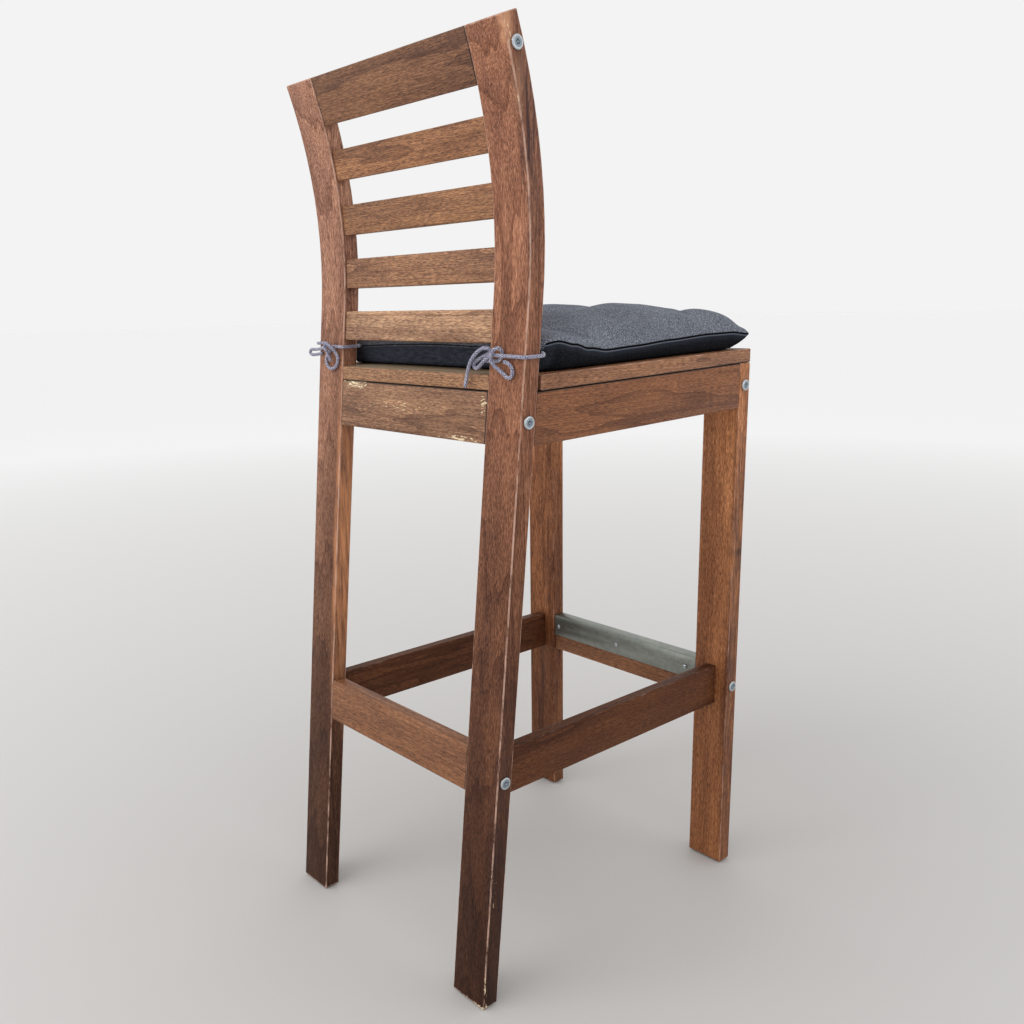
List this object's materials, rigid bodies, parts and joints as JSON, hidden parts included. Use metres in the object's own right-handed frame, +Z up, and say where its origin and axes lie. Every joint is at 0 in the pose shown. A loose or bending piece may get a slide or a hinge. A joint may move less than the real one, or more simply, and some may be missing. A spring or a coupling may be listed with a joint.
{
  "type": "bar stool with footrest",
  "caption": "Bar stool with a curved slatted back, a footrest with a steel edge guard, and a square seat cushion tied to the rear posts.",
  "frame": {"origin": "on the floor, in the middle of the footprint of the wooden frame", "axes": "+Z up, -Y is the way the sitter faces, +X is the sitter's left"},
  "size_m": [0.4263, 0.492, 1.0959],
  "materials": {
    "stained_wood": "reddish brown stain, thin satin lacquer, worn edges",
    "guard_steel": "dull galvanised sheet",
    "fastener_zinc": "zinc plated",
    "glide_plastic": "black moulded",
    "cushion_fabric": "dark grey woven cloth",
    "tie_cord": "braided, lavender grey"
  },
  "bodies": {
    "root": {"back_slat_1": "stained_wood", "back_slat_2": "stained_wood", "back_slat_3": "stained_wood", "back_slat_4": "stained_wood", "footrest_guard": "guard_steel", "footrest_rail": "stained_wood", "footrest_rail_barrel_nut_left": "fastener_zinc", "footrest_rail_barrel_nut_right": "fastener_zinc", "footrest_rail_bolt_left": "fastener_zinc", "footrest_rail_bolt_right": "fastener_zinc", "front_seat_rail": "stained_wood", "front_seat_rail_barrel_nut_left": "fastener_zinc", "front_seat_rail_barrel_nut_right": "fastener_zinc", "front_seat_rail_bolt_left": "fastener_zinc", "front_seat_rail_bolt_right": "fastener_zinc", "guard_screw_1": "fastener_zinc", "guard_screw_2": "fastener_zinc", "guard_screw_3": "fastener_zinc", "left_front_glide": "glide_plastic", "left_front_leg": "stained_wood", "left_rear_glide": "glide_plastic", "left_rear_post": "stained_wood", "left_seat_side_board": "stained_wood", "left_side_apron": "stained_wood", "left_side_stretcher": "stained_wood", "left_tie_inner": "tie_cord", "left_tie_outer": "tie_cord", "rear_seat_rail": "stained_wood", "rear_seat_rail_barrel_nut_left": "fastener_zinc", "rear_seat_rail_barrel_nut_right": "fastener_zinc", "rear_seat_rail_bolt_left": "fastener_zinc", "rear_seat_rail_bolt_right": "fastener_zinc", "rear_stretcher": "stained_wood", "rear_stretcher_barrel_nut_left": "fastener_zinc", "rear_stretcher_barrel_nut_right": "fastener_zinc", "rear_stretcher_bolt_left": "fastener_zinc", "rear_stretcher_bolt_right": "fastener_zinc", "right_front_glide": "glide_plastic", "right_front_leg": "stained_wood", "right_rear_glide": "glide_plastic", "right_rear_post": "stained_wood", "right_seat_side_board": "stained_wood", "right_side_apron": "stained_wood", "right_side_stretcher": "stained_wood", "right_tie_inner": "tie_cord", "right_tie_outer": "tie_cord", "seat_cushion": "cushion_fabric", "seat_slat_1": "stained_wood", "seat_slat_2": "stained_wood", "seat_slat_3": "stained_wood", "seat_slat_4": "stained_wood", "seat_slat_5": "stained_wood", "seat_slat_6": "stained_wood", "seat_slat_7": "stained_wood", "top_rail": "stained_wood", "top_rail_barrel_nut_left": "fastener_zinc", "top_rail_barrel_nut_right": "fastener_zinc", "top_rail_bolt_left": "fastener_zinc", "top_rail_bolt_right": "fastener_zinc"}
  },
  "joints": []
}
